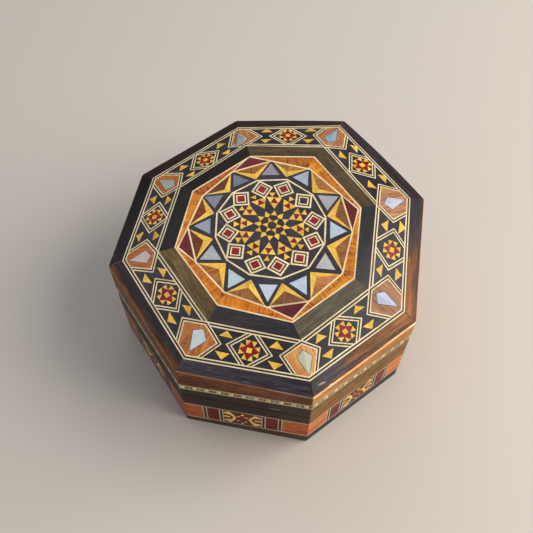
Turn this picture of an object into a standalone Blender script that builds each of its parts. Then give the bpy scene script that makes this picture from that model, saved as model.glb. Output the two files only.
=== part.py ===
# An eight-sided marquetry keepsake box whose lid lifts off.
# Metres, +Z up. The origin is the middle of the underside and the front side faces -Y.
# Corners and sides are counted anticlockwise from above. Corner 1 is the left end of
# the front side, and side n runs from corner n to corner n + 1.

import math

import bmesh
import bpy
from mathutils import Vector

# The plan. The corners were cut by hand, so each lies a little off the even octagon.
CORNER_RADIUS = 0.082
CORNER_OUT = (0.0007, 0.0027, -0.0004, 0.0004, 0.0045, -0.0029, -0.0041, -0.0018)
CORNER_TURN_DEG = (-0.3, -1.5, -2.9, 2.9, 2.9, -0.4, 0.3, -2.2)

# The gap left between neighbouring pieces.
GAP = 0.0003

# Heights. The lid's side is measured from its lower edge to the rim of its top.
BODY_HEIGHT = 0.0362
LID_SIDE = 0.0294
BAND_RISE = 0.0045
STRIP_RISE = 0.0015
FLOOR_THICKNESS = 0.005
LINING_LIP = 0.004

# The planed bevel round the lid dips by another amount at each corner.
BEVEL_DROP = (0.0006, 0.0027, 0.0026, 0.0017, 0.0018, 0.0024, 0.0021, 0.0005)

# Widths on the lid's top from the outside in, measured along the line to a corner.
BEVEL_RUN = 0.0070
BAND_RUN = 0.0190
STRIP_RUN = 0.0080

# Thicknesses. The wall is as thick as the bevel and the shelf that carries the top.
SHELF = 0.0030
LINING_THICKNESS = 0.0020
BOARD_EDGE = 0.0040
VENEER = 0.0020

# The round centre of the lid, let into the middle veneer this far from its edge.
STAR_MARGIN = 0.00345
STAR_OFFSET = (-0.0006, -0.0001)
STAR_TURN_DEG = 6.65
STAR_THICKNESS = 0.0012
STAR_SIDES = 12

# The inlaid band low on each body wall.
INLAY_DEPTH = 0.0015
INLAY_ABOVE_BASE = 0.0060
INLAY_HEIGHT = 0.0196

# The narrow mosaic line round the lid. It isn't quite level: its middle stands at this
# share of the height of the lid's side at each corner.
LINE_HEIGHT = 0.0050
LINE_DEPTH = 0.0012
LINE_LEVEL_SHARE = (0.345, 0.485, 0.400, 0.340, 0.290, 0.250, 0.225, 0.225)

SIDES = ("front", "front_right", "right", "back_right", "back", "back_left", "left", "front_left")
COUNT = len(SIDES)

WALNUT = (0.115, 0.062, 0.034)
OLIVE_WOOD = (0.235, 0.150, 0.075)
STAINED = (0.022, 0.020, 0.024)
BROWN_VENEER = (0.160, 0.085, 0.045)
TERRACOTTA = (0.440, 0.190, 0.085)
BURGUNDY = (0.150, 0.008, 0.012)
ORANGE = (0.620, 0.210, 0.015)
CREAM = (0.700, 0.560, 0.350)
BARE_WOOD = (0.270, 0.170, 0.090)


def clear_scene():
    for item in list(bpy.data.objects):
        bpy.data.objects.remove(item, do_unlink=True)


def paint(obj, color, roughness=0.35):
    material = bpy.data.materials.new(obj.name + "_finish")
    material.use_nodes = True
    shader = material.node_tree.nodes["Principled BSDF"]
    shader.inputs["Base Color"].default_value = (*color, 1.0)
    shader.inputs["Roughness"].default_value = roughness
    shader.inputs["Metallic"].default_value = 0.0
    material.diffuse_color = (*color, 1.0)
    obj.data.materials.append(material)


def finish(name, mesh_data, collection, color):
    """Turn a bmesh into a named object with its faces outward and its own material."""
    bmesh.ops.recalc_face_normals(mesh_data, faces=mesh_data.faces[:])
    mesh = bpy.data.meshes.new(name)
    mesh_data.to_mesh(mesh)
    mesh_data.free()
    obj = bpy.data.objects.new(name, mesh)
    collection.objects.link(obj)
    paint(obj, color)
    return obj


def plan_corners():
    """The eight outer corners, moved so that the middle of their bounding box is the origin."""
    corners = []
    for index in range(COUNT):
        turn = math.radians(-112.5 + 360.0 / COUNT * index + CORNER_TURN_DEG[index])
        radius = CORNER_RADIUS + CORNER_OUT[index]
        corners.append(Vector((radius * math.cos(turn), radius * math.sin(turn))))
    middle = Vector((
        (min(c.x for c in corners) + max(c.x for c in corners)) / 2,
        (min(c.y for c in corners) + max(c.y for c in corners)) / 2,
    ))
    return [c - middle for c in corners], -middle


CORNERS, AXIS = plan_corners()


def along(side):
    """The unit vector along a side, from its first corner to its second."""
    return (CORNERS[(side + 1) % COUNT] - CORNERS[side]).normalized()


def outward(side):
    """The unit vector square to a side, away from the box."""
    direction = along(side)
    return Vector((direction.y, -direction.x))


def apothem(side):
    """How far a side's outer face stands from the lid's axis."""
    return (CORNERS[side] - AXIS).dot(outward(side))


def on_spoke(corner, share):
    """The point this share of the way from the axis to an outer corner."""
    return AXIS + (CORNERS[corner % COUNT] - AXIS) * share


def ring(share):
    return [on_spoke(index, share) for index in range(COUNT)]


def shrink(outline, distance):
    """Move every edge of an anticlockwise outline inward by one distance."""
    moved = []
    count = len(outline)
    for index, point in enumerate(outline):
        before = (point - outline[index - 1]).normalized()
        after = (outline[(index + 1) % count] - point).normalized()
        inward_before = Vector((-before.y, before.x))
        inward_after = Vector((-after.y, after.x))
        bisector = inward_before + inward_after
        moved.append(point + bisector * (distance / (1.0 + inward_before.dot(inward_after))))
    return moved


# The rings of the lid's top, as shares of the distance from the axis to the corners.
RIM_SHARE = (CORNER_RADIUS - BEVEL_RUN) / CORNER_RADIUS
BAND_SHARE = (CORNER_RADIUS - BEVEL_RUN - BAND_RUN) / CORNER_RADIUS
PANEL_RADIUS = CORNER_RADIUS - BEVEL_RUN - BAND_RUN - STRIP_RUN
PANEL_SHARE = PANEL_RADIUS / CORNER_RADIUS

# The star's points reach to one margin from the flat sides of the middle veneer.
STAR_RADIUS = PANEL_RADIUS * math.cos(math.pi / COUNT) - STAR_MARGIN

# The wall reaches from the outer face to the inner edge of the shelf.
WALL = BEVEL_RUN * math.cos(math.pi / COUNT) + SHELF

LID_FOOT = BODY_HEIGHT + GAP
RIM_HEIGHT = LID_FOOT + LID_SIDE
BAND_HEIGHT = RIM_HEIGHT + BAND_RISE
PANEL_HEIGHT = BAND_HEIGHT + STRIP_RISE
BOARD_UNDERSIDE = RIM_HEIGHT - VENEER - GAP - BOARD_EDGE
SHELF_HEIGHT = BOARD_UNDERSIDE - GAP


def share_at(point):
    """The share whose ring passes through a point of the plan."""
    return max((point - AXIS).dot(outward(side)) / apothem(side) for side in range(COUNT))


def lid_height(point):
    """Height of the finished top: two shallow slopes round a flat middle."""
    share = share_at(point)
    if share >= BAND_SHARE:
        return RIM_HEIGHT + BAND_RISE * (RIM_SHARE - share) / (RIM_SHARE - BAND_SHARE)
    if share >= PANEL_SHARE:
        return BAND_HEIGHT + STRIP_RISE * (BAND_SHARE - share) / (BAND_SHARE - PANEL_SHARE)
    return PANEL_HEIGHT


def skin(name, loops, collection, color):
    """A closed solid stretched over loops of as many points each, capped at both ends."""
    mesh_data = bmesh.new()
    rows = [[mesh_data.verts.new(point) for point in loop] for loop in loops]
    count = len(rows[0])
    for row, next_row in zip(rows, rows[1:]):
        for index in range(count):
            following = (index + 1) % count
            mesh_data.faces.new((row[index], row[following], next_row[following], next_row[index]))
    mesh_data.faces.new(rows[0])
    mesh_data.faces.new(rows[-1])
    return finish(name, mesh_data, collection, color)


def loft(name, side, sections, collection, color):
    """A mitred length along one side.

    Each section lists points as distance inside the outer face and height. The first
    stands at the side's first corner, the second at its second, each half a gap short
    of the mitre.
    """
    reach = apothem(side)
    clearance = along(side) * (GAP * 0.5 / math.cos(math.pi / COUNT))
    loops = []
    for corner, shift, section in ((side, clearance, sections[0]), (side + 1, -clearance, sections[1])):
        loop = []
        for inside, height in section:
            spot = on_spoke(corner, (reach - inside) / reach) + shift
            loop.append((spot.x, spot.y, height))
        loops.append(loop)
    return skin(name, loops, collection, color)


def plate(name, outlines, thickness, collection, color):
    """A veneer that follows the lid's top. Outlines that share an edge fold along it."""
    mesh_data = bmesh.new()
    spots = {}
    faces = []
    for outline in outlines:
        corners = []
        for point in outline:
            key = (round(point.x, 7), round(point.y, 7))
            if key not in spots:
                spots[key] = mesh_data.verts.new((point.x, point.y, lid_height(point)))
            corners.append(spots[key])
        faces.append(mesh_data.faces.new(corners))
    lower = bmesh.ops.extrude_face_region(mesh_data, geom=faces)["geom"]
    for item in lower:
        if isinstance(item, bmesh.types.BMVert):
            item.co.z -= thickness
    return finish(name, mesh_data, collection, color)


def prism(name, outline, low, high, collection, color):
    mesh_data = bmesh.new()
    base = mesh_data.faces.new([mesh_data.verts.new((p.x, p.y, low)) for p in outline])
    lifted = bmesh.ops.extrude_face_region(mesh_data, geom=[base])["geom"]
    for item in lifted:
        if isinstance(item, bmesh.types.BMVert):
            item.co.z = high
    return finish(name, mesh_data, collection, color)


def hoop(name, outline, lows, highs, thickness, collection, color):
    """A closed upright strip: its outer face is drawn up from the outline, then thickened inward."""
    mesh_data = bmesh.new()
    feet = [mesh_data.verts.new((p.x, p.y, low)) for p, low in zip(outline, lows)]
    edges = [mesh_data.edges.new((feet[i], feet[(i + 1) % COUNT])) for i in range(COUNT)]
    rise = {foot.co.to_2d().freeze(): high for foot, high in zip(feet, highs)}
    drawn = bmesh.ops.extrude_edge_only(mesh_data, edges=edges)["geom"]
    for item in drawn:
        if isinstance(item, bmesh.types.BMVert):
            item.co.z = rise[item.co.to_2d().freeze()]
    obj = finish(name, mesh_data, collection, color)
    middle = sum((Vector(v.co) for v in obj.data.vertices), Vector()) / len(obj.data.vertices)
    face = obj.data.polygons[0]
    if face.normal.dot(Vector(face.center) - middle) < 0:
        obj.data.flip_normals()
    shell = obj.modifiers.new("Thickness", "SOLIDIFY")
    shell.thickness = thickness
    shell.offset = -1.0
    shell.use_even_offset = True
    return obj


def floor_and_lining(collection):
    outline = shrink(ring(1.0), WALL + GAP)
    prism("floor", outline, 0.0, FLOOR_THICKNESS, collection, BARE_WOOD)
    lows = [FLOOR_THICKNESS + GAP] * COUNT
    highs = [BODY_HEIGHT + LINING_LIP] * COUNT
    hoop("lining", outline, lows, highs, LINING_THICKNESS, collection, BARE_WOOD)


def body_wall(side, collection):
    """One wall of the body, with a groove outside for its inlaid band."""
    low = INLAY_ABOVE_BASE
    high = INLAY_ABOVE_BASE + INLAY_HEIGHT
    section = (
        (0.0, 0.0),
        (0.0, low),
        (INLAY_DEPTH, low),
        (INLAY_DEPTH, high),
        (0.0, high),
        (0.0, BODY_HEIGHT),
        (WALL, BODY_HEIGHT),
        (WALL, 0.0),
    )
    color = OLIVE_WOOD if SIDES[side] in ("front_right", "right") else WALNUT
    loft("wall_" + SIDES[side], side, (section, section), collection, color)
    inlay = (
        (0.0, low + GAP),
        (INLAY_DEPTH - GAP, low + GAP),
        (INLAY_DEPTH - GAP, high - GAP),
        (0.0, high - GAP),
    )
    loft("inlay_" + SIDES[side], side, (inlay, inlay), collection, TERRACOTTA)


def line_middle(corner):
    return LID_FOOT + LID_SIDE * LINE_LEVEL_SHARE[corner % COUNT]


def line_height(side, inside, corner):
    """Height of the mosaic line's middle, where a mitre is this far inside the outer face.

    The groove runs straight from corner to corner, so its floor and edges stay flat.
    """
    start = CORNERS[side]
    length = (CORNERS[(side + 1) % COUNT] - start).length
    spot = on_spoke(corner, (apothem(side) - inside) / apothem(side))
    share = (spot - start).dot(along(side)) / length
    return line_middle(side) + (line_middle(side + 1) - line_middle(side)) * share


def lid_side(side, collection):
    """One side of the lid: groove for the mosaic line, bevel on top, shelf for the board."""
    rebate = apothem(side) * (1.0 - RIM_SHARE) - GAP * 0.5
    half = LINE_HEIGHT / 2
    sections = []
    for corner in (side, side + 1):
        face = line_height(side, 0.0, corner)
        groove = line_height(side, LINE_DEPTH, corner)
        sections.append((
            (0.0, LID_FOOT),
            (0.0, face - half),
            (LINE_DEPTH, groove - half),
            (LINE_DEPTH, groove + half),
            (0.0, face + half),
            (0.0, RIM_HEIGHT - BEVEL_DROP[corner % COUNT]),
            (rebate, RIM_HEIGHT),
            (rebate, SHELF_HEIGHT),
            (WALL, SHELF_HEIGHT),
            (WALL, LID_FOOT),
        ))
    loft("lid_side_" + SIDES[side], side, sections, collection, BROWN_VENEER)


def mosaic_line(collection):
    """The narrow mosaic strip, set flush in the grooves round the lid."""
    lows = [line_middle(corner) - LINE_HEIGHT / 2 + GAP for corner in range(COUNT)]
    highs = [line_middle(corner) + LINE_HEIGHT / 2 - GAP for corner in range(COUNT)]
    hoop("lid_mosaic_line", ring(1.0), lows, highs, LINE_DEPTH - GAP, collection, CREAM)


def lid_board(collection):
    """The board under the veneers: upright at its edge, then two slopes and a flat middle."""
    sunk = VENEER + GAP
    edge = shrink(ring(RIM_SHARE), GAP * 0.5)
    loops = [[(p.x, p.y, BOARD_UNDERSIDE) for p in edge]]
    for outline in (edge, ring(BAND_SHARE), ring(PANEL_SHARE)):
        loops.append([(p.x, p.y, lid_height(p) - sunk) for p in outline])
    skin("lid_board", loops, collection, WALNUT)


def vee_points(side):
    """Points of the chevron at each end of a side's band: its tip and its outer end.

    The inner edge of the next side runs on past their shared corner to the middle of
    this band and then turns square back to the band's outer edge.
    """
    direction = along(side)
    across = outward(side)
    width = apothem(side) * (RIM_SHARE - BAND_SHARE)
    first = on_spoke(side, BAND_SHARE)
    second = on_spoke(side + 1, BAND_SHARE)
    half = across * (width / 2)
    return (
        (first + direction * (width / 2) + half, first + across * width),
        (second - direction * (width / 2) + half, second + across * width),
    )


def lid_veneers(collection):
    for side in range(COUNT):
        (tip, end), (far_tip, far_end) = vee_points(side)
        inner = on_spoke(side, BAND_SHARE)
        far_inner = on_spoke(side + 1, BAND_SHARE)
        panel = [inner, tip, end, far_end, far_tip, far_inner]
        plate("band_" + SIDES[side], [shrink(panel, GAP * 0.5)], VENEER, collection, STAINED)

        before = vee_points((side - 1) % COUNT)[1]
        outer = on_spoke(side, RIM_SHARE)
        kite = shrink([inner, before[0], before[1], outer, end, tip], GAP * 0.5)
        halves = [[kite[0], kite[1], kite[2], kite[3]], [kite[0], kite[3], kite[4], kite[5]]]
        plate("corner_%d" % (side + 1), halves, VENEER, collection, TERRACOTTA)

        strip = [
            on_spoke(side, PANEL_SHARE),
            on_spoke(side, BAND_SHARE),
            on_spoke(side + 1, BAND_SHARE),
            on_spoke(side + 1, PANEL_SHARE),
        ]
        plate("strip_" + SIDES[side], [shrink(strip, GAP * 0.5)], VENEER, collection, STAINED)


def star_outline(radius):
    centre = AXIS + Vector(STAR_OFFSET)
    outline = []
    for index in range(STAR_SIDES):
        turn = math.radians(STAR_TURN_DEG + 360.0 / STAR_SIDES * index)
        outline.append(centre + Vector((radius * math.cos(turn), radius * math.sin(turn))))
    return outline


def lid_middle(collection, cutters):
    """The bright middle veneer, recessed for the star, and the star itself."""
    panel = shrink(ring(PANEL_SHARE), GAP * 0.5)
    body = prism("middle_panel", panel, PANEL_HEIGHT - VENEER, PANEL_HEIGHT, collection, ORANGE)
    seat = STAR_THICKNESS + GAP
    recess = star_outline(STAR_RADIUS + GAP)
    tool = prism("star_recess", recess, PANEL_HEIGHT - seat, PANEL_HEIGHT + seat, cutters, ORANGE)
    tool.hide_render = True
    tool.display_type = "WIRE"
    cut = body.modifiers.new("Star recess", "BOOLEAN")
    cut.object = tool
    cut.operation = "DIFFERENCE"
    cut.solver = "EXACT"
    low = PANEL_HEIGHT - STAR_THICKNESS
    prism("star", star_outline(STAR_RADIUS), low, PANEL_HEIGHT, collection, BURGUNDY)


def build():
    clear_scene()
    scene = bpy.context.scene
    box = bpy.data.collections.new("mosaic_box")
    cutters = bpy.data.collections.new("cutters")
    scene.collection.children.link(box)
    scene.collection.children.link(cutters)
    floor_and_lining(box)
    for side in range(COUNT):
        body_wall(side, box)
        lid_side(side, box)
    mosaic_line(box)
    lid_board(box)
    lid_veneers(box)
    lid_middle(box, cutters)


build()
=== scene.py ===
import math

import bpy
import numpy as np
from mathutils import Matrix, Vector
from mathutils.geometry import delaunay_2d_cdt


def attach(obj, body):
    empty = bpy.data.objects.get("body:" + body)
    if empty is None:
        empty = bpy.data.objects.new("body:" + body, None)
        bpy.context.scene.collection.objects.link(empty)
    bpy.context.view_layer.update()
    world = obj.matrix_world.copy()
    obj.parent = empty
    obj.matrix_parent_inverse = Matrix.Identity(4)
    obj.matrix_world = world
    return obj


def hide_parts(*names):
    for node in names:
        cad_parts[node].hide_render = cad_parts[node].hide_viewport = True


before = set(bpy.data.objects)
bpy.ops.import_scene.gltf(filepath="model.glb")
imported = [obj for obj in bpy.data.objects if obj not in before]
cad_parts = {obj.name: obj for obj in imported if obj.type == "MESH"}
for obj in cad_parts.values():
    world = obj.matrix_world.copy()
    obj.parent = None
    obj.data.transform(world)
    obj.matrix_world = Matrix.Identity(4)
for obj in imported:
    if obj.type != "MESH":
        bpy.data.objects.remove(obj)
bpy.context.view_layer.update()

dice = np.random.default_rng(12)
mm = 0.001
sideNames = ("front", "front_right", "right", "back_right", "back", "back_left", "left", "front_left")

plan = {
    "radius": 82.0,
    "bandShare": 0.6829268,  # the even band's corner, as a share of the outer corner
    "cornerOut": (0.7, 2.7, -0.4, 0.4, 4.5, -2.9, -4.1, -1.8),
    "cornerTurn": (-0.3, -1.5, -2.9, 2.9, 2.9, -0.4, 0.3, -2.2),
    # the three lines round the top as they were really cut: out from the axis, then degrees round it
    "rim": (
        (76.1, -112.9), (77.6, -68.9), (74.8, -25.2), (75.0, 26.5),
        (80.8, 70.6), (72.0, 112.6), (70.6, 158.0), (73.3, -160.7)
    ),
    "band": (
        (56.5, -112.4), (59.1, -68.6), (55.3, -26.0), (54.9, 25.2),
        (59.6, 70.5), (54.9, 111.7), (52.8, 158.2), (55.1, -159.7)
    ),
    "panel": (
        (48.1, -112.6), (50.9, -70.6), (47.7, -26.0), (47.0, 25.0),
        (50.8, 71.8), (47.0, 111.3), (45.8, 157.7), (47.4, -159.5)
    ),
    "bodyTop": 36.2,
    "lidFoot": 36.5,
    "rimHeight": 65.9,
    "bandHeight": 70.4,
    "panelHeight": 71.9,
    "bevelDrop": (0.6, 2.7, 2.6, 1.7, 1.8, 2.4, 2.1, 0.5),
    "wall": 9.467,
    "veneer": 2.0,
}


# plan geometry

def polar(out, degrees):
    turn = np.radians(degrees)
    return np.stack([out * np.cos(turn), out * np.sin(turn)], -1)


def ringOf(pairs):
    pairs = np.array(pairs)
    return polar(pairs[:, 0], pairs[:, 1])


outer = polar(
    plan["radius"] + np.array(plan["cornerOut"]), -112.5 + 45.0 * np.arange(8) + np.array(plan["cornerTurn"])
)
rim, band, panel = ringOf(plan["rim"]), ringOf(plan["band"]), ringOf(plan["panel"])
axis = -(outer.min(0) + outer.max(0)) / 2  # the frame's origin is the middle of the box's extent


def unit(vector):
    return vector / np.linalg.norm(vector)


def rightOf(vector):
    # a direction in the plan, turned a quarter to the right
    return np.array([vector[1], -vector[0]])


def leanOf(vector):
    # degrees from +X to a direction in the plan
    return math.degrees(math.atan2(vector[1], vector[0]))


def sideFrame(side):
    # directions along a side and square to it, and how far its outer face is from the axis
    start, end = outer[side % 8], outer[(side + 1) % 8]
    along = unit(end - start)
    out = rightOf(along)
    return along, out, float(start @ out)


def onBand(side, places):
    # (along, across) on a side's band, from the even band corner, to a place in the plan
    along, out, _ = sideFrame(side)
    places = np.atleast_2d(np.array(places, float))
    return outer[side % 8] * plan["bandShare"] + places[:, :1] * along + places[:, 1:] * out


def beyond(points, start, end):
    # how far points lie to the right of the line from start to end
    return (points - start) @ rightOf(unit(end - start))


def area(loop):
    x, y = loop[:, 0], loop[:, 1]
    return 0.5 * float(np.sum(x * np.roll(y, -1) - np.roll(x, -1) * y))


def inset(loop, distance):
    # every edge of an anticlockwise loop moved inward by one distance, mitred
    loop = np.asarray(loop, float)
    if area(loop) < 0:
        loop = loop[::-1]
    before = loop - np.roll(loop, 1, 0)
    after = np.roll(loop, -1, 0) - loop
    before /= np.linalg.norm(before, axis=1)[:, None]
    after /= np.linalg.norm(after, axis=1)[:, None]
    inBefore = np.stack([-before[:, 1], before[:, 0]], 1)
    inAfter = np.stack([-after[:, 1], after[:, 0]], 1)
    stretch = 1.0 + np.sum(inBefore * inAfter, 1)
    return loop + (inBefore + inAfter) * (distance / np.maximum(stretch, 0.25))[:, None]


def turned(points, degrees, centre=(0.0, 0.0)):
    turn = math.radians(degrees)
    spin = np.array([[math.cos(turn), math.sin(turn)], [-math.sin(turn), math.cos(turn)]])
    return np.asarray(points, float) @ spin + np.array(centre)


def ribbon(start, end, left, right):
    # a straight strip of line work, its edges this far to the right of start-end
    along = unit(np.asarray(end, float) - start)
    out = rightOf(along)
    return np.array([start + out * left, start + out * right, end + out * right, end + out * left])


# shader building

class Wire:
    # one output socket; arithmetic on it adds Math nodes
    def __init__(self, paint, socket):
        self.paint, self.socket = paint, socket

    def math(self, operation, first, second, clamp=False):
        return self.paint.node(
            "ShaderNodeMath", {"operation": operation, "use_clamp": clamp}, {0: first, 1: second}
        )

    def __add__(self, other):
        return self.math("ADD", self, other)

    def __radd__(self, other):
        return self.math("ADD", other, self)

    def __sub__(self, other):
        return self.math("SUBTRACT", self, other)

    def __rsub__(self, other):
        return self.math("SUBTRACT", other, self)

    def __mul__(self, other):
        return self.math("MULTIPLY", self, other)

    def over(self, edge, soft):
        # 0 below the edge, rising to 1 over the soft width
        return self.math("MULTIPLY", self - edge, 1.0 / soft, True)

    def clamped(self):
        return self.math("ADD", self, 0.0, True)


class Paint:
    # one material: its nodes, with the shader's unvarying sockets set by name
    def __init__(self, name, **fixed):
        self.material = bpy.data.materials.new(name)
        self.material.use_nodes = True
        self.tree = self.material.node_tree
        self.shader = self.tree.nodes["Principled BSDF"]
        for key, value in fixed.items():
            self.shader.inputs[key.replace("_", " ")].default_value = value

    def node(self, kind, settings=None, sockets=None, out=0):
        made = self.tree.nodes.new(kind)
        for key, value in (settings or {}).items():
            if key == "stops":
                ramp = made.color_ramp.elements
                while len(ramp) < len(value):
                    ramp.new(0.5)
                for stop, (place, color) in zip(ramp, value):
                    stop.position, stop.color = place, (*color, 1.0)
            else:
                setattr(made, key, value)
        for key, value in (sockets or {}).items():
            if isinstance(value, Wire):
                self.tree.links.new(value.socket, made.inputs[key])
            else:
                made.inputs[key].default_value = value
        return Wire(self, made.outputs[out])

    def mix(self, factor, first, second, blend="MIX"):
        first, second = [(*c, 1.0) if isinstance(c, tuple) and len(c) == 3 else c for c in (first, second)]
        return self.node(
            "ShaderNodeMix", {"data_type": "RGBA", "blend_type": blend}, {0: factor, 6: first, 7: second}, 2
        )

    def stretch(self, vector, amounts):
        return self.node("ShaderNodeVectorMath", {"operation": "MULTIPLY"}, {0: vector, 1: amounts})

    def noise(self, vector, scale=1.0, detail=2.0, rough=0.5, bend=0.0):
        sockets = {"Vector": vector, "Scale": scale, "Detail": detail, "Roughness": rough, "Distortion": bend}
        return self.node("ShaderNodeTexNoise", {}, sockets)

    def ramp(self, value, stops):
        return self.node("ShaderNodeValToRGB", {"stops": stops}, {0: value})

    def grain(self):
        # metres along and across the grain of the tile a point is on
        return self.node("ShaderNodeUVMap", {"uv_map": "grainMap"})

    def place(self):
        return self.node("ShaderNodeTexCoord", out=3)

    def read(self, name, out=0):
        return self.node("ShaderNodeAttribute", {"attribute_name": name}, out=out)

    def scar(self, centre, sizes, turn):
        # 1 inside a soft stretched spot at a place given in mm from the lid's axis, 0 well outside it; it places
        # real knocks on the bevel and one painted highlight on the dark wall
        centre = tuple((np.array(centre) + [*axis, 0.0]) * mm)
        away = self.node("ShaderNodeVectorMath", {"operation": "SUBTRACT"}, {0: self.place(), 1: centre})
        away = self.node(
            "ShaderNodeVectorRotate", {"rotation_type": "Z_AXIS"}, {"Vector": away, "Angle": -math.radians(turn)}
        )
        away = self.stretch(away, tuple(1000.0 / size for size in sizes))
        reach = self.node("ShaderNodeVectorMath", {"operation": "LENGTH"}, {0: away}, 1)
        ragged = self.noise(self.place(), 900.0, 2.0, 0.7)
        return (1.6 - reach - ragged).over(0.0, 0.35)

    def bump(self, height, distance, strength=1.0, below=None):
        sockets = {"Height": height, "Distance": distance, "Strength": strength}
        if below is not None:
            sockets["Normal"] = below
        return self.node("ShaderNodeBump", {}, sockets)

    def finish(self, **links):
        for key, wire in links.items():
            self.tree.links.new(wire.socket, self.shader.inputs[key.replace("_", " ")])
        return self.material


def srgb(text):
    # a hex colour as linear light
    parts = [int(text[i:i + 2], 16) / 255 for i in (0, 2, 4)]
    return tuple(p / 12.92 if p <= 0.04045 else ((p + 0.055) / 1.055) ** 2.4 for p in parts)


# Per wood: dark, middle and light tone of the grain; strength of the streaks; curl across
# the grain; pores; roughness; share of grime.
woodRows = {
    "cream": ("bb9a6a", "ecd6a8", "faefd0", 0.7, 0.0, 0.45, 0.34, 0.42),
    "black": ("19171b", "2a272d", "3f3b43", 0.8, 0.0, 0.3, 0.36, 0.25),
    "brownBlack": ("1d1513", "2e2321", "453532", 0.8, 0.0, 0.3, 0.38, 0.25),
    "yellow": ("bb8520", "eab842", "fad468", 0.7, 0.25, 0.35, 0.32, 0.22),
    "red": ("4c0406", "870e11", "ac1c1c", 0.75, 0.1, 0.45, 0.33, 0.2),
    "burgundy": ("2c0408", "5c0d14", "7e1a20", 0.8, 0.2, 0.4, 0.32, 0.2),
    "terracotta": ("7a3f1f", "b56a38", "cf8c54", 1.0, 0.15, 0.55, 0.36, 0.25),
    "walnut": ("5a381d", "8f6236", "ab7f4f", 0.9, 0.15, 0.6, 0.36, 0.3),
    "orange": ("843c02", "d07c08", "f0a41c", 0.55, 0.8, 0.5, 0.32, 0.2),
    "olive": ("38332a", "57503f", "736a54", 1.0, 0.1, 0.6, 0.42, 0.25),
    "oliveBrown": ("33291b", "554832", "75664b", 1.0, 0.1, 0.6, 0.42, 0.35),
    "blueBlack": ("1b1c22", "2a2b33", "3d3f4a", 0.9, 0.0, 0.35, 0.38, 0.2),
    "brownVeneer": ("2c180a", "653c1b", "986738", 1.4, 0.1, 0.6, 0.38, 0.35),
    "tanVeneer": ("7a4622", "ab733f", "d09a60", 0.9, 0.25, 0.5, 0.36, 0.3),
    "darkWall": ("1c1410", "30241b", "46362a", 1.0, 0.0, 0.5, 0.36, 0.35),
    "goldWall": ("4c341a", "7d5a31", "a27a48", 1.0, 0.1, 0.55, 0.38, 0.35),
    # not a wood: a painted highlight on the strip just under the lid's upper arris
    "paleEdge": ("8c5a34", "c98f5a", "f0cda0", 0.9, 0.1, 0.4, 0.45, 0.45),
    "green": ("3f5f4a", "6f9474", "93b391", 0.6, 0.0, 0.3, 0.38, 0.3),
    "glue": ("15100d", "231b15", "33281f", 0.5, 0.0, 0.2, 0.5, 0.3),
    "bare": ("7c5a38", "a57e52", "c19a6b", 1.0, 0.0, 0.5, 0.6, 0.4),
}
woodLooks = {
    name: {"tones": row[:3], **dict(zip(("streak", "curl", "pores", "rough", "grime"), row[3:]))}
    for name, row in woodRows.items()
}
# the dark wall carries one painted highlight, a pale gleam on the edge just above the joint of the lid: place, half
# sizes, turn
woodLooks["darkWall"]["scar"] = ((13.5, -78.3, 39.8), (3.2, 1.0, 0.32), -2.5)


def woodPaint(name, look, gloss=1.0, plain=False):
    # Fibres are noise stretched along the grain; curl is noise stretched across it; pores
    # are short dark dashes. Plain woods read object coordinates, the others the tile's grain.
    paint = Paint(name, Coat_Roughness=0.18, Specular_IOR_Level=0.04 + 0.22 * gloss)
    spot = paint.place()
    across = spot if plain else paint.grain()
    dark, middle, light = [srgb(t) for t in look["tones"]]
    cloud = paint.noise(paint.stretch(across, (40.0, 160.0, 160.0)), detail=2.0)
    streaks = paint.noise(paint.stretch(across, (90.0, 1100.0, 1100.0)), detail=3.0, rough=0.65, bend=0.4)
    fibres = paint.noise(paint.stretch(across, (350.0, 4600.0, 4600.0)), detail=2.0, rough=0.6)
    curl = paint.noise(paint.stretch(across, (900.0, 120.0, 120.0)), detail=2.0, rough=0.55, bend=0.6)
    depth = (streaks - 0.5) * (1.9 * look["streak"]) + (fibres - 0.5) * 0.9 * look["streak"] + (cloud - 0.5) * 0.9
    if look["curl"]:
        depth = depth + (curl - 0.5) * (2.0 * look["curl"])
    shade = (depth + 0.52).clamped()
    color = paint.ramp(shade, ((0.08, dark), (0.5, middle), (0.95, light)))
    pore = paint.noise(paint.stretch(across, (520.0, 5200.0, 5200.0)), detail=1.0).over(0.64, 0.08)
    color = paint.mix(pore * look["pores"], color, tuple(c * 0.55 for c in dark))
    if not plain:
        color = paint.mix(1.0, color, paint.read("tint"), "MULTIPLY")
    dirt = paint.noise(spot, 55.0, 4.0, 0.65).over(0.5, 0.3)
    color = paint.mix(dirt * look["grime"], color, tuple(c * 0.5 for c in middle))
    # the painted highlight: a pale gleam on the dark wall just above the lid's joint
    if "scar" in look:
        color = paint.mix(paint.scar(*look["scar"]) * 0.8, color, srgb("b3a08c"))
    smear = paint.noise(spot, 95.0, 3.0, 0.6, 0.5)
    rough = look["rough"] + (smear - 0.5) * 0.26 + pore * 0.12 + dirt * 0.06
    under = paint.bump(fibres * 0.6 + streaks * 0.4 - pore * 0.8, 0.00004, 0.55)
    swell = paint.bump(paint.noise(spot, 170.0, 2.0), 0.00035, 0.35, under)
    return paint.finish(Base_Color=color, Roughness=rough, Coat_Weight=(0.2 - dirt * 0.15) * gloss, Normal=swell)


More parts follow.
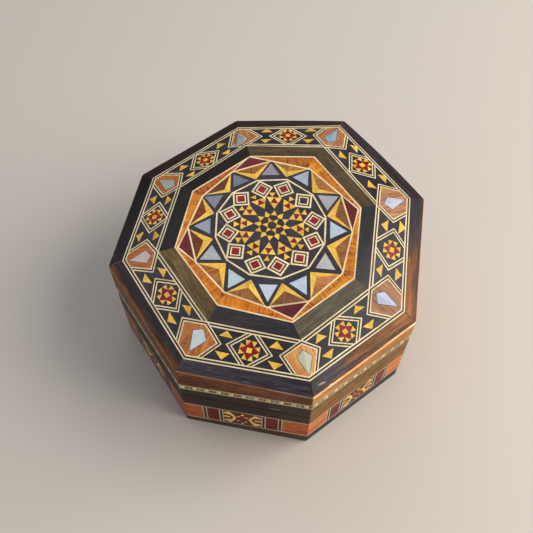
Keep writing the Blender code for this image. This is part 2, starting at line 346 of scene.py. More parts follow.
def pearlPaint():
    # Growth lines are a strongly stretched noise; the hue drifts with two broad ones.
    paint = Paint("motherOfPearl", Coat_Roughness=0.08, Specular_IOR_Level=0.6)
    across, spot = paint.grain(), paint.place()
    drift = paint.noise(paint.stretch(across, (160.0, 260.0, 1.0)), detail=3.0, rough=0.55, bend=1.2)
    lines = paint.noise(paint.stretch(across, (90.0, 1500.0, 1.0)), detail=2.0, bend=0.8)
    milk = paint.noise(spot, 420.0, 2.0, 0.5, 0.8)
    color = paint.ramp(
        drift, ((0.30, srgb("a9b6cf")), (0.46, srgb("c3d0e4")), (0.58, srgb("cfcfe0")), (0.72, srgb("c9dcd6")))
    )
    color = paint.mix((lines.over(0.42, 0.3)) * 0.28, color, srgb("eef2f6"))
    color = paint.mix(1.0, color, paint.read("tint"), "MULTIPLY")
    stain = paint.noise(spot, 600.0, 3.0, 0.7).over(0.66, 0.05)
    color = paint.mix(stain * 0.35, color, srgb("8f7a63"))
    rough = 0.20 + (milk - 0.5) * 0.2 + stain * 0.2
    skin = paint.bump(lines * 0.5 + milk * 0.5, 0.00006, 0.4)
    return paint.finish(Base_Color=color, Roughness=rough, Coat_Weight=0.7 - stain * 0.5, Normal=skin)


bevelScars = (
    # place in mm, half sizes and turn of the small knocks beside the front corner
    ((33.4, -71.9, 64.4), (2.2, 0.4, 2.0), 36.0),
    ((37.4, -71.2, 64.0), (1.1, 0.3, 2.0), 30.0),
)


def bevelPaint():
    # Dark stain over pale wood; where the rub attribute is high the stain has worn through in streaks.
    paint = Paint("wornBevel", Coat_Roughness=0.2, Specular_IOR_Level=0.14)
    across, spot = paint.grain(), paint.place()
    streaks = paint.noise(paint.stretch(across, (60.0, 620.0, 1.0)), detail=4.0, rough=0.6, bend=0.8)
    fibres = paint.noise(paint.stretch(across, (300.0, 4200.0, 1.0)), detail=2.0)
    patch = paint.noise(spot, 95.0, 4.0, 0.6, 0.9)
    stain = paint.ramp(
        (streaks - 0.5) * 1.3 + (fibres - 0.5) * 0.5 + 0.5,
        ((0.1, srgb("221f26")), (0.5, srgb("3a3640")), (0.9, srgb("55505c")))
    )
    warm = paint.ramp(
        (streaks - 0.5) * 1.2 + (fibres - 0.5) * 0.6 + 0.15 + paint.read("rub", 2) * 0.4,
        ((0.1, srgb("3c2214")), (0.5, srgb("86582f")), (0.9, srgb("d28438")))
    )
    worn = (paint.read("rub", 2) * 1.1 + (patch - 0.5) * 0.7 + (streaks - 0.5) * 0.6).over(0.22, 0.6)
    color = paint.mix(worn * 0.92, stain, warm)
    color = paint.mix(1.0, color, paint.read("tint"), "MULTIPLY")
    scratch = paint.noise(paint.stretch(spot, (260.0, 1900.0, 400.0)), detail=1.0, bend=0.3).over(0.74, 0.03)
    color = paint.mix(scratch * 0.45, color, srgb("a98f78"))
    for place, sizes, turn in bevelScars:
        color = paint.mix(paint.scar(place, sizes, turn) * 0.7, color, srgb("b9a594"))
    rough = 0.36 + (patch - 0.5) * 0.3 + worn * 0.06 + scratch * 0.2
    under = paint.bump(fibres * 0.4 + streaks * 0.6 - scratch * 0.6, 0.00005, 0.6)
    swell = paint.bump(paint.noise(spot, 120.0, 2.0), 0.0005, 0.35, under)
    return paint.finish(Base_Color=color, Roughness=rough, Coat_Weight=0.1 - worn * 0.05, Normal=swell)


finishes = {name: woodPaint(name + "Wood", look) for name, look in woodLooks.items() if name != "bare"}
finishes["pearl"] = pearlPaint()
finishes["bevel"] = bevelPaint()
finishes["bare"] = woodPaint("bareWood", woodLooks["bare"], 0.3, True)
# the sides are duller than the top, where hands have polished it
sideFinishes = {name: woodPaint(name + "Side", look, 0.12) for name, look in woodLooks.items() if name != "bare"}
sideFinishes.update(bevel=finishes["bevel"], bare=finishes["bare"])
print("finishes mixed:", len(finishes))


# meshes

def tile(points, wood, turn=0.0, tint=(1.0, 1.0, 1.0), wobble=0.06, seam=0.0):
    # one piece of veneer; its tone wanders a little from its neighbours'
    points = np.asarray(points, float)
    if area(points) < 0:
        points = points[::-1]
    if seam:
        points = inset(points, seam)
    tone = 1.0 + float(dice.uniform(-wobble, wobble))
    warmth = float(dice.uniform(-0.3, 0.3)) * wobble
    red, green, blue = tint
    tint = (red * tone * (1 + warmth), green * tone, blue * tone * (1 - warmth))
    return {"points": points, "wood": wood, "turn": turn, "tint": tint, "shift": dice.uniform(-0.9, 0.9, 2)}


def facing(wood, tint=(1.0, 1.0, 1.0), wobble=0.0):
    # a tile for the rows of a board, which give its outline themselves
    return tile(np.eye(3)[:, :2], wood, 0.0, tint, wobble)


def inside(points, loop):
    # a point is inside where a ray to its right crosses the loop an odd number of times
    start, end = loop, np.roll(loop, -1, 0)
    x, y = points[:, :1], points[:, 1:]
    rise = end[:, 1] - start[:, 1]
    lean = (end[:, 0] - start[:, 0]) / np.where(rise == 0, 1.0, rise)
    crossed = ((start[:, 1] > y) != (end[:, 1] > y)) & (x < start[:, 0] + (y - start[:, 1]) * lean)
    return crossed.sum(1) % 2 == 1


def laySheet(outline, tiles, lift, thickness, hole=None, folds=()):
    # The tiles are drawn one over another into a flat map of triangles, where the last
    # drawn shows. lift puts that map in space, and a copy of it below closes the sheet.
    loops = [outline] + [t["points"] for t in tiles[1:]] + ([] if hole is None else [hole])
    coords = [Vector(p) for loop in loops for p in loop]
    edges, first = [], 0
    for loop in loops:
        edges += [(first + i, first + (i + 1) % len(loop)) for i in range(len(loop))]
        first += len(loop)
    for start, end in folds:
        edges.append((len(coords), len(coords) + 1))
        coords += [Vector(start), Vector(end)]
    made = delaunay_2d_cdt(coords, edges, [], 0, 1e-4, False)
    points, triangles = np.array([(p.x, p.y) for p in made[0]]), np.array(made[2])
    centres = points[triangles].mean(1)
    owner = np.zeros(len(triangles), int)
    for index, part in enumerate(tiles[1:], 1):
        owner[inside(centres, part["points"])] = index
    keep = inside(centres, outline)
    if hole is not None:
        keep &= ~inside(centres, hole)
    triangles, owner = triangles[keep], owner[keep]
    used, triangles = np.unique(triangles, return_inverse=True)
    points, triangles = points[used], triangles.reshape(-1, 3)
    count = len(points)
    sides = np.concatenate([triangles[:, (0, 1)], triangles[:, (1, 2)], triangles[:, (2, 0)]])
    single = ~np.isin(sides[:, 0] * count + sides[:, 1], sides[:, 1] * count + sides[:, 0])
    edge = sides[single]
    walls = np.stack([edge[:, 1], edge[:, 0], edge[:, 0] + count, edge[:, 1] + count], 1)
    under = triangles[:, ::-1] + count
    return {
        "points": np.concatenate([lift(points, 0.0), lift(points, thickness)]),
        "flat": np.concatenate([points, points]),
        "faces": triangles.tolist() + under.tolist() + walls.tolist(),
        "owner": np.concatenate([owner, np.zeros(len(under) + len(walls), int)]),
        "tiles": tiles,
    }


def makePiece(name, sheets, nodes, palette=finishes):
    # several sheets joined into one object, with the grain map and the tint of each tile
    woods = []
    points, faces, woodOf, flatOf, tintOf, rubOf, base = [], [], [], [], [], [], 0
    for sheet in sheets:
        for part in sheet["tiles"]:
            if part["wood"] not in woods:
                woods.append(part["wood"])
        points.append(sheet["points"])
        faces += [[i + base for i in f] for f in sheet["faces"]]
        lengths = np.array([len(f) for f in sheet["faces"]])
        corner = np.concatenate([np.array(f) for f in sheet["faces"]])
        owner = np.repeat(sheet["owner"], lengths)
        turns = np.radians(np.array([t["turn"] for t in sheet["tiles"]]))[owner]
        shifts = np.array([t["shift"] for t in sheet["tiles"]])[owner]
        flat = sheet["flat"][corner] * mm
        flatOf.append(np.stack([
            flat[:, 0] * np.cos(turns) + flat[:, 1] * np.sin(turns),
            flat[:, 1] * np.cos(turns) - flat[:, 0] * np.sin(turns),
        ], 1) + shifts)
        tints = np.array([t["tint"] for t in sheet["tiles"]])[owner]
        tintOf.append(np.concatenate([tints, np.ones((len(owner), 1))], 1))
        woodOf.append(np.array([woods.index(t["wood"]) for t in sheet["tiles"]])[sheet["owner"]])
        rubOf.append(sheet.get("rub", np.zeros(len(sheet["points"]))))
        base += len(sheet["points"])
    mesh = bpy.data.meshes.new(name)
    mesh.from_pydata(np.concatenate(points).tolist(), [], faces)
    mesh.uv_layers.new(name="grainMap").data.foreach_set("uv", np.concatenate(flatOf).ravel().astype(np.float32))
    tint = mesh.attributes.new("tint", "FLOAT_COLOR", "CORNER")
    tint.data.foreach_set("color", np.concatenate(tintOf).ravel().astype(np.float32))
    mesh.attributes.new("rub", "FLOAT", "POINT").data.foreach_set("value", np.concatenate(rubOf).astype(np.float32))
    for wood in woods:
        mesh.materials.append(palette[wood])
    mesh.polygons.foreach_set("material_index", np.concatenate(woodOf).astype(np.int32))
    mesh.update()
    piece = bpy.data.objects.new(name, mesh)
    bpy.context.scene.collection.objects.link(piece)
    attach(piece, "root")
    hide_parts(*nodes)


def onTop(side, upper):
    # height of the lid's top over one side: straight from line to line, rim to band or band to panel
    low, high, start, end = plan["rimHeight"], plan["bandHeight"], rim, band
    if upper:
        low, high, start, end = plan["bandHeight"], plan["panelHeight"], band, panel

    def height(points):
        outside = -beyond(points, start[side % 8], start[(side + 1) % 8])
        within = beyond(points, end[side % 8], end[(side + 1) % 8])
        return low + (high - low) * outside / (outside + within)
    return height


def lifted(height):
    def lift(points, depth):
        return np.concatenate([points + axis, (height(points) - depth)[:, None]], 1) * mm
    return lift


def bearing(side):
    return leanOf(sideFrame(side)[0])


# lid band: border lines, diamonds, chevrons, triangles

bandWork = {
    "border": (0.0, 0.58, 1.38, 1.98),  # edges of cream, black and cream, inward from the rim line
    "stripe": (0.0, 0.56, 1.30, 1.86),  # the same for the diamonds and chevrons
    "slope": 0.88,  # height of a diamond over its length
    "petal": 2.65,
    "heart": 1.2,  # half the yellow square in a rosette
    "rosetteHalf": 4.5,  # half the square that a rosette's points are given in
    "overrun": 6.0,  # how far a border strip runs on past its corners
    "seam": 0.03,
}

# Per side, in mm along and across from the even band corner: chevron tip at the start, the
# diamond's two tips, chevron tip at the end; rosette centre and half sizes; four triangles by
# their three points; and the pearl flake of the corner at the side's end.
bandKeys = ("tips", "rosette", "triangles", "flake")
bandRows = (
    (((8.75, 9.0), (10.5, 8.7), (32.5, 10.1), (35.1, 9.5)), (21.55, 9.6, 4.6, 4.35),
     ((6.25, 12.3, 13.25, 12.5, 9.9, 15.7), (6.6, 5.4, 13.25, 5.7, 10.0, 2.6),
      (30.5, 12.5, 37.7, 12.9, 34.1, 16.0), (30.0, 6.7, 36.75, 6.8, 33.1, 3.35)),
     ((50.0, 15.6), (43.4, 9.0), (45.1, 5.2), (49.8, 6.7))),
    (((5.5, 8.9), (8.75, 10.1), (30.0, 8.9), (32.6, 8.9)), (19.25, 9.5, 4.55, 4.15),
     ((3.25, 12.3, 10.2, 12.3, 6.4, 15.6), (4.25, 6.5, 10.9, 6.5, 7.8, 3.2),
      (27.5, 12.3, 34.25, 12.3, 30.6, 15.5), (27.7, 5.6, 34.4, 5.6, 30.9, 2.5)),
     ((47.6, 13.9), (40.5, 7.9), (42.8, 3.7), (47.3, 5.0))),
    (((9.9, 8.05), (11.9, 7.9), (36.9, 9.0), (39.7, 8.4)), (24.06, 8.8, 5.1, 4.2),
     ((7.2, 11.5, 14.8, 11.5, 11.4, 14.8), (7.3, 4.9, 14.7, 5.05, 10.9, 1.9),
      (34.4, 11.4, 42.2, 11.6, 38.6, 15.05), (33.6, 5.7, 40.8, 5.9, 36.9, 2.3)),
     ((55.8, 13.4), (47.7, 7.55), (49.7, 2.9), (54.7, 4.3))),
    (((11.1, 9.6), (14.25, 10.85), (35.6, 10.5), (37.8, 10.4)), (25.1, 10.85, 4.7, 4.9),
     ((9.1, 13.5, 16.1, 13.7, 13.1, 17.5), (8.75, 6.7, 15.6, 6.7, 11.9, 3.0),
      (33.1, 14.3, 40.0, 14.6, 36.7, 17.7), (32.3, 6.5, 38.9, 6.8, 35.4, 3.2)),
     ((52.4, 16.5), (45.4, 9.6), (46.6, 4.9), (50.75, 6.0))),
    (((5.3, 11.0), (8.25, 10.05), (28.6, 9.7), (31.9, 9.4)), (18.5, 10.5, 4.5, 4.5),
     ((2.8, 14.1, 9.5, 13.9, 6.1, 17.55), (4.4, 7.4, 10.75, 7.05, 8.0, 3.8),
      (26.6, 13.2, 33.1, 12.9, 29.7, 16.2), (27.0, 7.2, 33.1, 6.6, 30.6, 3.7)),
     ((45.3, 13.2), (39.8, 7.55), (42.5, 2.4), (45.75, 3.5))),
    (((7.0, 6.9), (11.25, 8.5), (31.25, 6.9), (34.6, 7.8)), (20.8, 7.65, 4.35, 4.15),
     ((5.6, 10.5, 11.9, 10.3, 8.75, 13.8), (6.6, 5.3, 12.4, 5.3, 9.4, 2.2),
      (29.5, 10.3, 35.75, 10.2, 32.5, 13.5), (29.4, 4.7, 35.5, 4.7, 32.3, 1.7)),
     ((46.9, 12.2), (41.1, 6.9), (43.4, 2.7), (48.1, 4.1))),
    (((7.2, 8.1), (9.5, 8.3), (29.1, 8.4), (32.2, 8.3)), (19.06, 8.4, 4.4, 4.0),
     ((5.6, 10.9, 11.25, 10.9, 8.1, 14.4), (5.75, 5.3, 11.7, 5.3, 8.4, 2.2),
      (27.9, 11.4, 34.25, 12.2, 30.6, 14.7), (27.1, 5.9, 33.1, 5.4, 30.3, 2.5)),
     ((45.1, 13.9), (38.9, 7.2), (41.6, 3.6), (45.5, 4.8))),
    (((7.6, 7.8), (10.3, 8.6), (32.4, 8.25), (35.1, 8.25)), (21.4, 8.25, 4.7, 4.1),
     ((5.1, 11.2, 11.9, 10.9, 8.1, 14.3), (6.4, 5.1, 13.1, 5.2, 10.2, 2.0),
      (29.25, 11.5, 36.9, 11.8, 32.8, 14.8), (30.1, 5.1, 37.2, 5.2, 33.75, 2.0)),
     ((51.1, 13.6), (43.9, 7.2), (46.4, 3.4), (51.6, 4.9))),
)
bandSides = [dict(zip(bandKeys, row)) for row in bandRows]

# tint of the flake and of the terracotta at each corner
cornerTints = (
    ((0.91, 0.97, 0.86), (1.06, 1.10, 0.95)), ((0.86, 0.83, 0.54), (1.30, 1.75, 1.70)),
    ((0.52, 0.54, 0.68), (0.76, 1.06, 1.55)), ((0.86, 0.82, 0.84), (0.88, 1.26, 1.80)),
    ((0.44, 0.56, 0.58), (0.88, 1.05, 1.40)), ((0.57, 0.53, 0.46), (0.75, 0.90, 0.80)),
    ((0.58, 0.61, 0.46), (1.05, 0.90, 0.66)), ((0.88, 0.62, 0.54), (0.90, 0.82, 0.42)),
)


def chevronEnds(side):
    # where each chevron's upper arm meets the rim line: from its tip, at 45 degrees to the side
    start, end = rim[side], rim[(side + 1) % 8]
    lean = unit(end - start)
    first, last = onBand(side, (bandSides[side]["tips"][0], bandSides[side]["tips"][3]))
    ends = []
    for tip, way in ((first, -1.0), (last, 1.0)):
        short = -float(beyond(tip[None], start, end)[0])
        ends.append(tip + rightOf(lean) * short + lean * (way * short))
    return first, ends[0], last, ends[1]


def rosette(centre, sizes, along, turn):
    # eight yellow petals round four red darts, as triangles in a square
    wide, high = np.array(sizes) / bandWork["rosetteHalf"]
    heart, petal = bandWork["heart"], bandWork["petal"]
    tiles = []

    def put(points, kind, lean):
        points = np.array(points)
        places = centre + points[:, :1] * along * wide + points[:, 1:] * rightOf(along) * high
        tiles.append(tile(places, kind, turn + lean, wobble=0.10, seam=bandWork["seam"]))
    put([(-heart, -heart), (heart, -heart), (heart, heart), (-heart, heart)], "yellow", 20.0)
    for step in range(4):
        lean = 90.0 * step
        for points, kind in (
            ([(heart, -heart), (1.75, -1.72), (4.55, 0.0), (1.75, 1.72), (heart, heart)], "red"),
            ([(1.9, 1.72), (4.55, 0.12), (4.45, petal)], "yellow"),
            ([(1.9, -1.72), (4.45, -petal), (4.55, -0.12)], "yellow"),
        ):
            put(turned(points, lean), kind, lean)
    return tiles


def bandTiles(side):
    # everything on one side's band, as the band's panel and the corner panels beside it share it
    bearingHere = bearing(side)
    _, left, right, _ = onBand(side, bandSides[side]["tips"])
    tiles = []
    middle = (left + right) / 2
    square = rightOf(right - left) * 0.5 * bandWork["slope"]
    diamond = np.array([left, middle + square, right, middle - square])
    for depth, kind in zip(bandWork["stripe"], ("cream", "black", "cream", "black")):
        tiles.append(tile(inset(diamond, depth), kind, bearingHere + 42.0, wobble=0.05))
    spot = bandSides[side]["rosette"]
    tiles += rosette(onBand(side, spot[:2])[0], spot[2:], unit(right - left), bearingHere)
    for points in bandSides[side]["triangles"]:
        points = onBand(side, np.array(points).reshape(3, 2))
        lean = bearingHere + float(dice.choice((0.0, 60.0, -60.0)))
        tiles.append(tile(points, "yellow", lean, wobble=0.12, seam=bandWork["seam"]))
    return tiles


def borderTiles(line, side, way):
    # cream, black and cream along one side of a line, outward of it (way 1) or inward (way -1)
    tiles = []
    start, end, depths = line[side], line[(side + 1) % 8], bandWork["border"]
    overrun = unit(end - start) * bandWork["overrun"]
    for near, far, kind in zip(depths, depths[1:], ("cream", "black", "cream")):
        strip = ribbon(start - overrun, end + overrun, way * near, way * far)
        tiles.append(tile(strip, kind, leanOf(end - start), wobble=0.05))
    return tiles


def cutAway(points, ahead):
    # the part of a loop where ahead, a signed distance from a line, isn't negative
    kept = []
    for a, b, near, far in zip(points, np.roll(points, -1, 0), ahead, np.roll(ahead, -1)):
        if near >= 0:
            kept.append(a)
        if near * far < 0:
            kept.append(a + (b - a) * near / (near - far))
    return np.array(kept)


for side in range(8):
    tip, foot, farTip, farFoot = chevronEnds(side)
    outline = np.array([band[side], tip, foot, farFoot, farTip, band[(side + 1) % 8]])
    tiles = [tile(outline, "black", bearing(side), wobble=0.05)]
    tiles += bandTiles(side)
    tiles += borderTiles(band, side, 1.0) + borderTiles(rim, side, -1.0)
    sheet = laySheet(inset(outline, 0.02), tiles, lifted(onTop(side, False)), plan["veneer"])
    makePiece("bandVeneer_" + sideNames[side], [sheet], ["band_" + sideNames[side]])

for corner in range(8):
    before = (corner - 1) % 8
    tip, foot, _, _ = chevronEnds(corner)
    _, _, farTip, farFoot = chevronEnds(before)
    inner, edge = band[corner], rim[corner]
    outline = np.array([inner, farTip, farFoot, edge, foot, tip])
    spoke, mitre = leanOf(edge), unit(edge - inner)
    flakeTint, woodTint = cornerTints[corner]
    tiles = [tile(outline, "cream", spoke)]
    for depth, kind in zip(bandWork["stripe"][:3], ("cream", "black", "cream")):
        tiles.append(tile(inset(outline, depth + 0.02), kind, spoke + 65.0, wobble=0.05))
    lean = spoke + float(dice.uniform(-14, 14))
    tiles.append(tile(inset(outline, bandWork["stripe"][3]), "terracotta", lean, woodTint, 0.04))
    flake = onBand(before, bandSides[before]["flake"])
    tiles.append(tile(inset(flake, -0.22), "glue", spoke))
    tiles.append(tile(flake, "pearl", spoke + float(dice.uniform(-60, 60)), flakeTint, 0.02))
    for side, keep in ((before, 1.0), (corner, -1.0)):
        strips = borderTiles(rim, side, -1.0)
        # each strip stops on the mitre of the corner
        for strip in strips:
            ahead = (strip["points"] - edge) @ rightOf(mitre) * keep
            if np.any(ahead < 0) and np.any(ahead > 0):
                strip["points"] = cutAway(strip["points"], ahead)
        tiles += strips
    heights = (onTop(before, False), onTop(corner, False))

    def overCorner(points, heights=heights, inner=inner, mitre=mitre):
        left = (points - inner) @ rightOf(mitre) < 0
        return np.where(left, heights[1](points), heights[0](points))
    sheet = laySheet(inset(outline, 0.02), tiles, lifted(overCorner), plan["veneer"], folds=[(inner, edge)])
    makePiece("cornerVeneer_%d" % (corner + 1), [sheet], ["corner_%d" % (corner + 1)])
print("band laid")

# the plain dark strips inside the band; their tones from side to side are partly the veneers' own colour and partly
# painted sheen, as the grain of each mitred side catches the light differently

stripToneAndSheen = (
    ("black", (1.10, 1.02, 0.94)), ("olive", (0.86, 0.83, 0.80)),
    ("blueBlack", (0.32, 0.29, 0.31)), ("olive", (0.70, 0.57, 0.42)),
    ("olive", (0.73, 0.58, 0.40)), ("black", (0.36, 0.25, 0.15)),
    ("brownBlack", (0.20, 0.14, 0.09)), ("oliveBrown", (1.26, 1.02, 0.58)),
)
for side, (wood, tint) in enumerate(stripToneAndSheen):
    after = (side + 1) % 8
    outline = np.array([panel[side], band[side], band[after], panel[after]])
    tiles = [tile(outline, wood, bearing(side), tint, 0.0)]
    sheet = laySheet(inset(outline, 0.04), tiles, lifted(onTop(side, True)), plan["veneer"])
    makePiece("darkStrip_" + sideNames[side], [sheet], ["strip_" + sideNames[side]])

# the middle: orange veneer, burgundy points, and the star

starWork = {
    # in thousandths of the plan radius from the axis, point by point from the back, clockwise
    "tips": ((-70, 512), (178, 484), (388, 318), (480, 60), (448, -231), (282, -436), (52, -510), (-202, -452),
             (-398, -281), (-491, -54), (-447, 183), (-301, 389)),
    "elbows": ((38, 402), (212, 308), (318, 150), (338, -60), (263, -248), (114, -342), (-64, -348),
               (-224, -262), (-328, -112), (-354, 70), (-286, 238), (-144, 356)),
    "notches": ((40, 446), (246, 342), (368, 158), (392, -66), (304, -280), (136, -394), (-72, -404),
                (-258, -308), (-382, -132), (-404, 70), (-324, 250), (-160, 396)),
    "ring": ((46, 384), (216, 292), (312, 140), (326, -44), (252, -222), (108, -316), (-76, -318), (-224, -240),
             (-316, -96), (-338, 72), (-272, 232), (-136, 348)),
    "pearls": ((-70, 494, -116, 394, -6, 412), (170, 470, 78, 406, 178, 354), (374, 304, 246, 294, 316, 190),
               (448, 60, 342, 116, 354, -8), (406, -214, 336, -108, 292, -218),
               (262, -400, 246, -276, 154, -340), (50, -476, -16, -372, 90, -360),
               (-186, -424, -202, -298, -98, -352), (-380, -262, -328, -152, -254, -244),
               (-458, -38, -370, 30, -352, -80), (-436, 180, -324, 210, -358, 104),
               (-290, 374, -182, 342, -272, 276)),
    # middles of the squares, and how far each is turned
    "squares": ((-96, 286), (35, 308), (166, 240), (246, 107), (258, -36), (193, -167), (76, -237), (-56, -247),
                (-184, -175), (-248, -58), (-259, 76), (-212, 198)),
    "squareTurns": (-22.5, 30.4, 1.0, -26.0, 33.3, 0.5, -23.7, 33.5, 2.5, -25.4, 40.0, 12.6),
    "squareSide": 98,
    # large triangles of four: inner point, then the two ends of the outer side
    "fours": ((-2, 154, 34, 242, -62, 236), (54, 140, 128, 190, 44, 234), (94, 92, 180, 94, 138, 182),
              (110, 36, 198, -16, 188, 86), (98, -28, 144, -106, 190, -30), (56, -70, 62, -164, 142, -118),
              (2, -82, -38, -170, 53, -165), (-54, -74, -126, -124, -47, -172),
              (-96, -28, -186, -33, -140, -116), (-110, 31, -191, 68, -181, -21),
              (-96, 95, -157, 165, -184, 84), (-58, 146, -65, 232, -147, 184)),
    # small triangles outside them: inner point, then the two outer ends
    "smalls": ((-26, 240, -12, 274, -52, 269), (78, 222, 112, 241, 77, 261), (162, 140, 200, 140, 181, 179),
               (196, 37, 222, 20, 220, 57), (167, -72, 190, -109, 208, -72), (100, -146, 106, -193, 137, -168),
               (4, -175, -12, -215, 25, -210), (-87, -153, -121, -172, -84, -191),
               (-163, -78, -203, -82, -180, -119), (-190, 15, -228, 31, -224, -11),
               (-175, 118, -198, 147, -213, 111), (-120, 208, -127, 239, -159, 215)),
    "heart": (2, 34.5),
    # outer points of the burgundy tiles, and of which star tip each follows
    "burgundy": ((502, 228), (-214, 526), (-522, -200), (203, -563)),
    "burgundyTips": (2, 11, 8, 5),
    "line": 0.8,  # mm
    "pearlTints": ((0.4, 0.31, 0.34), (0.56, 0.55, 0.61), (0.56, 0.52, 0.45), (0.69, 0.77, 0.77),
                   (0.74, 0.66, 0.54), (0.8, 0.84, 0.86), (0.79, 0.84, 0.86), (0.71, 0.82, 0.74),
                   (0.56, 0.57, 0.52), (0.41, 0.39, 0.44), (0.28, 0.26, 0.32), (0.18, 0.21, 0.25)),
    "walnutTints": ((1.34, 1.18, 0.66), (1.34, 1.18, 0.74), (0.73, 0.6, 0.48), (0.94, 0.74, 0.52),
                    (1.6, 1.33, 1.02), (0.7, 0.54, 0.56), (0.93, 0.7, 0.34), (1.22, 0.88, 0.34),
                    (0.46, 0.18, 0.04), (0.62, 0.27, 0.03), (0.4, 0.2, 0.06), (1.0, 0.73, 0.22)),
    "orangeTints": ((0.9, 0.76, 0.15), (0.92, 0.95, 0.7), (0.9, 0.9, 0.4), (0.9, 0.84, 0.35), (0.6, 0.5, 0.2),
                    (0.6, 0.42, 0.1), (0.88, 0.8, 0.35), (0.84, 0.7, 0.1)),
    # dark chips where the orange veneer is broken: place, half length in mm, turn
    "chips": (((160, 512), 0.9, 60.0), ((-210, -468), 1.0, -60.0), ((463, -236), 0.7, -20.0)),
    # the flower's points, out from its middle, in plan radii
    "flower": {"hexagon": 0.030, "foot": 0.060, "shoulder": 0.0755, "head": 0.0735, "kite": 0.0760,
               "low": 0.0625, "tip": 0.1100, "point": 0.0605},
}


def starPlaces(name, *counts):
    # a list in starWork as points in mm from the axis
    return np.array(starWork[name]).reshape(*counts, 2) / 1000 * plan["radius"]


tips, elbows, notches = starPlaces("tips", 12), starPlaces("elbows", 12), starPlaces("notches", 12)
starLine = starWork["line"]
starEdge = inset(tips[::-1], -starLine / 2)


def levelTop(points):
    return np.full(len(points), plan["panelHeight"])


def orangeTiles():
    tiles = [tile(panel, "orange", 0.0)]
    for side in range(8):
        after = (side + 1) % 8
        wedge = np.array([panel[side], panel[after], panel[after] * 0.6, panel[side] * 0.6])
        tiles.append(tile(wedge, "orange", bearing(side), starWork["orangeTints"][side], 0.02, 0.03))
    for first, point in zip(starWork["burgundyTips"], starPlaces("burgundy", 4)):
        loop = np.array([tips[first], point, tips[(first + 1) % 12]])
        tiles.append(tile(inset(loop, -0.35), "cream", 0.0))
        tiles.append(tile(inset(loop, 0.42), "burgundy", leanOf(point) + 90.0, wobble=0.12))
    for side in range(8):
        strip = ribbon(panel[side], panel[(side + 1) % 8], -0.72, 0.5)
        tiles.append(tile(strip, "cream", bearing(side), wobble=0.04))
    for place, size, lean in starWork["chips"]:
        chip = [(-size, -0.35), (size, -0.3), (size * 0.7, 0.4), (-size * 0.6, 0.35)]
        tiles.append(tile(turned(chip, lean, np.array(place) / 1000 * plan["radius"]), "glue"))
    return tiles


def starTiles():
    pearls = starPlaces("pearls", 12, 3)
    tiles = [tile(starEdge, "cream", 0.0, wobble=0.0)]
    tiles.append(tile(inset(starEdge, starLine), "black", 20.0, wobble=0.0))
    for index in range(12):
        after = (index + 1) % 12
        first, last, elbow, notch = tips[index], tips[after], elbows[index], notches[index]
        way = unit(last - first) * 0.75
        lean = leanOf(notch - elbow) + float(dice.uniform(-25, 25))
        tiles.append(tile([first + way, notch, last - way], "walnut", lean, starWork["walnutTints"][index], 0.03))
        for end in (first + way, last - way):
            tiles.append(tile([end, elbow, notch], "yellow", leanOf(elbow - end), wobble=0.10, seam=0.05))
        tiles.append(tile(inset(pearls[index], -0.12), "glue"))
        lean = float(dice.uniform(0, 180))
        tiles.append(tile(pearls[index], "pearl", lean, starWork["pearlTints"][index], 0.02))
    # cream border again, over the ends of the walnut
    for index in range(12):
        first, last = tips[index], tips[(index + 1) % 12]
        strip = ribbon(first, last, -starLine / 2 - 0.1, starLine / 2)
        tiles.append(tile(strip, "cream", leanOf(last - first), wobble=0.04))
    ring = starPlaces("ring", 12)[::-1]
    tiles.append(tile(inset(ring, -0.40), "cream", 30.0))
    tiles.append(tile(inset(ring, 0.40), "black", -35.0, wobble=0.0))
    return tiles + heartTiles(starPlaces("heart"))


